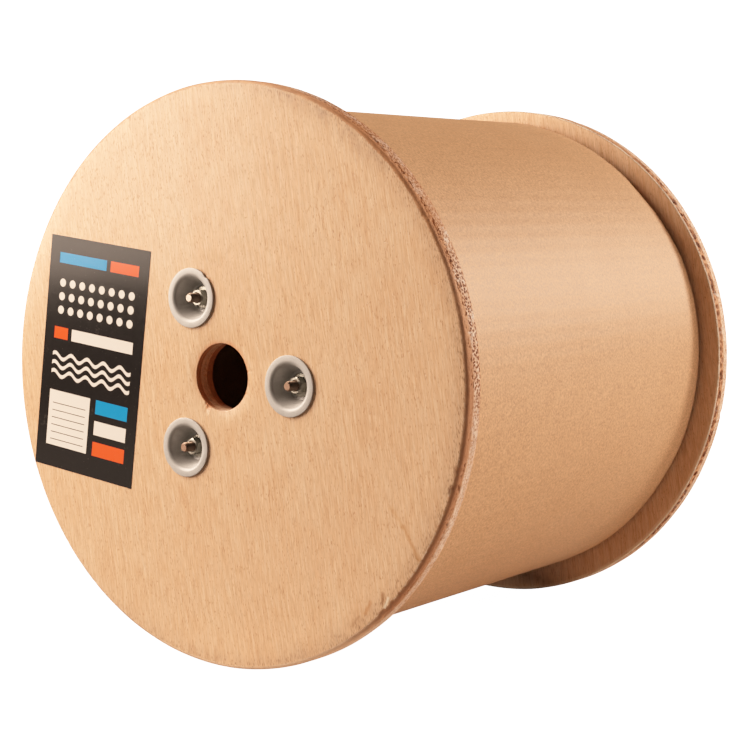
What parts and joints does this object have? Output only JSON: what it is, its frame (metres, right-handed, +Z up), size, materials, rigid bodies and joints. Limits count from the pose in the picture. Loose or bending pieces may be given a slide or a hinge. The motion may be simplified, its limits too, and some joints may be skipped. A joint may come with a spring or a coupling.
{
  "type": "wooden cable drum",
  "caption": "Round plywood cable drum lying on its rims, full of cable under a kraft board wrap, with cupped tie rods round a plain arbor hole and a black label.",
  "frame": {"origin": "middle of the drum, on the axis of its arbor hole, halfway between the flanges", "axes": "+Y along the drum's axis from the front flange, which carries the label, to the rear one; +X to the right seen from the front; +Z up, with the drum lying on its rims"},
  "size_m": [0.3048, 0.2842, 0.3048],
  "materials": {
    "plywood": "bare rotary-cut veneer, satin, with rough brown edges",
    "paper_tube": "wound grey-brown paper tube, matte",
    "cable_sheath": "black cable sheath, satin",
    "kraft_board": "kraft corrugated board, matte",
    "cup_steel": "pressed steel with a pale grey zinc coat, satin",
    "zinc_hardware": "bright zinc plated",
    "label_film": "black laminated sticker, semi-gloss"
  },
  "bodies": {
    "root": {"front_flange": "plywood", "rear_flange": "plywood", "barrel": "paper_tube", "cable_winding": "cable_sheath", "wrap": "kraft_board", "label": "label_film", "tie_rod_1": "zinc_hardware", "front_cup_washer_1": "cup_steel", "front_plain_washer_1": "zinc_hardware", "front_nut_1": "zinc_hardware", "rear_cup_washer_1": "cup_steel", "rear_plain_washer_1": "zinc_hardware", "rear_nut_1": "zinc_hardware", "tie_rod_2": "zinc_hardware", "front_cup_washer_2": "cup_steel", "front_plain_washer_2": "zinc_hardware", "front_nut_2": "zinc_hardware", "rear_cup_washer_2": "cup_steel", "rear_plain_washer_2": "zinc_hardware", "rear_nut_2": "zinc_hardware", "tie_rod_3": "zinc_hardware", "front_cup_washer_3": "cup_steel", "front_plain_washer_3": "zinc_hardware", "front_nut_3": "zinc_hardware", "rear_cup_washer_3": "cup_steel", "rear_plain_washer_3": "zinc_hardware", "rear_nut_3": "zinc_hardware"}
  },
  "joints": []
}
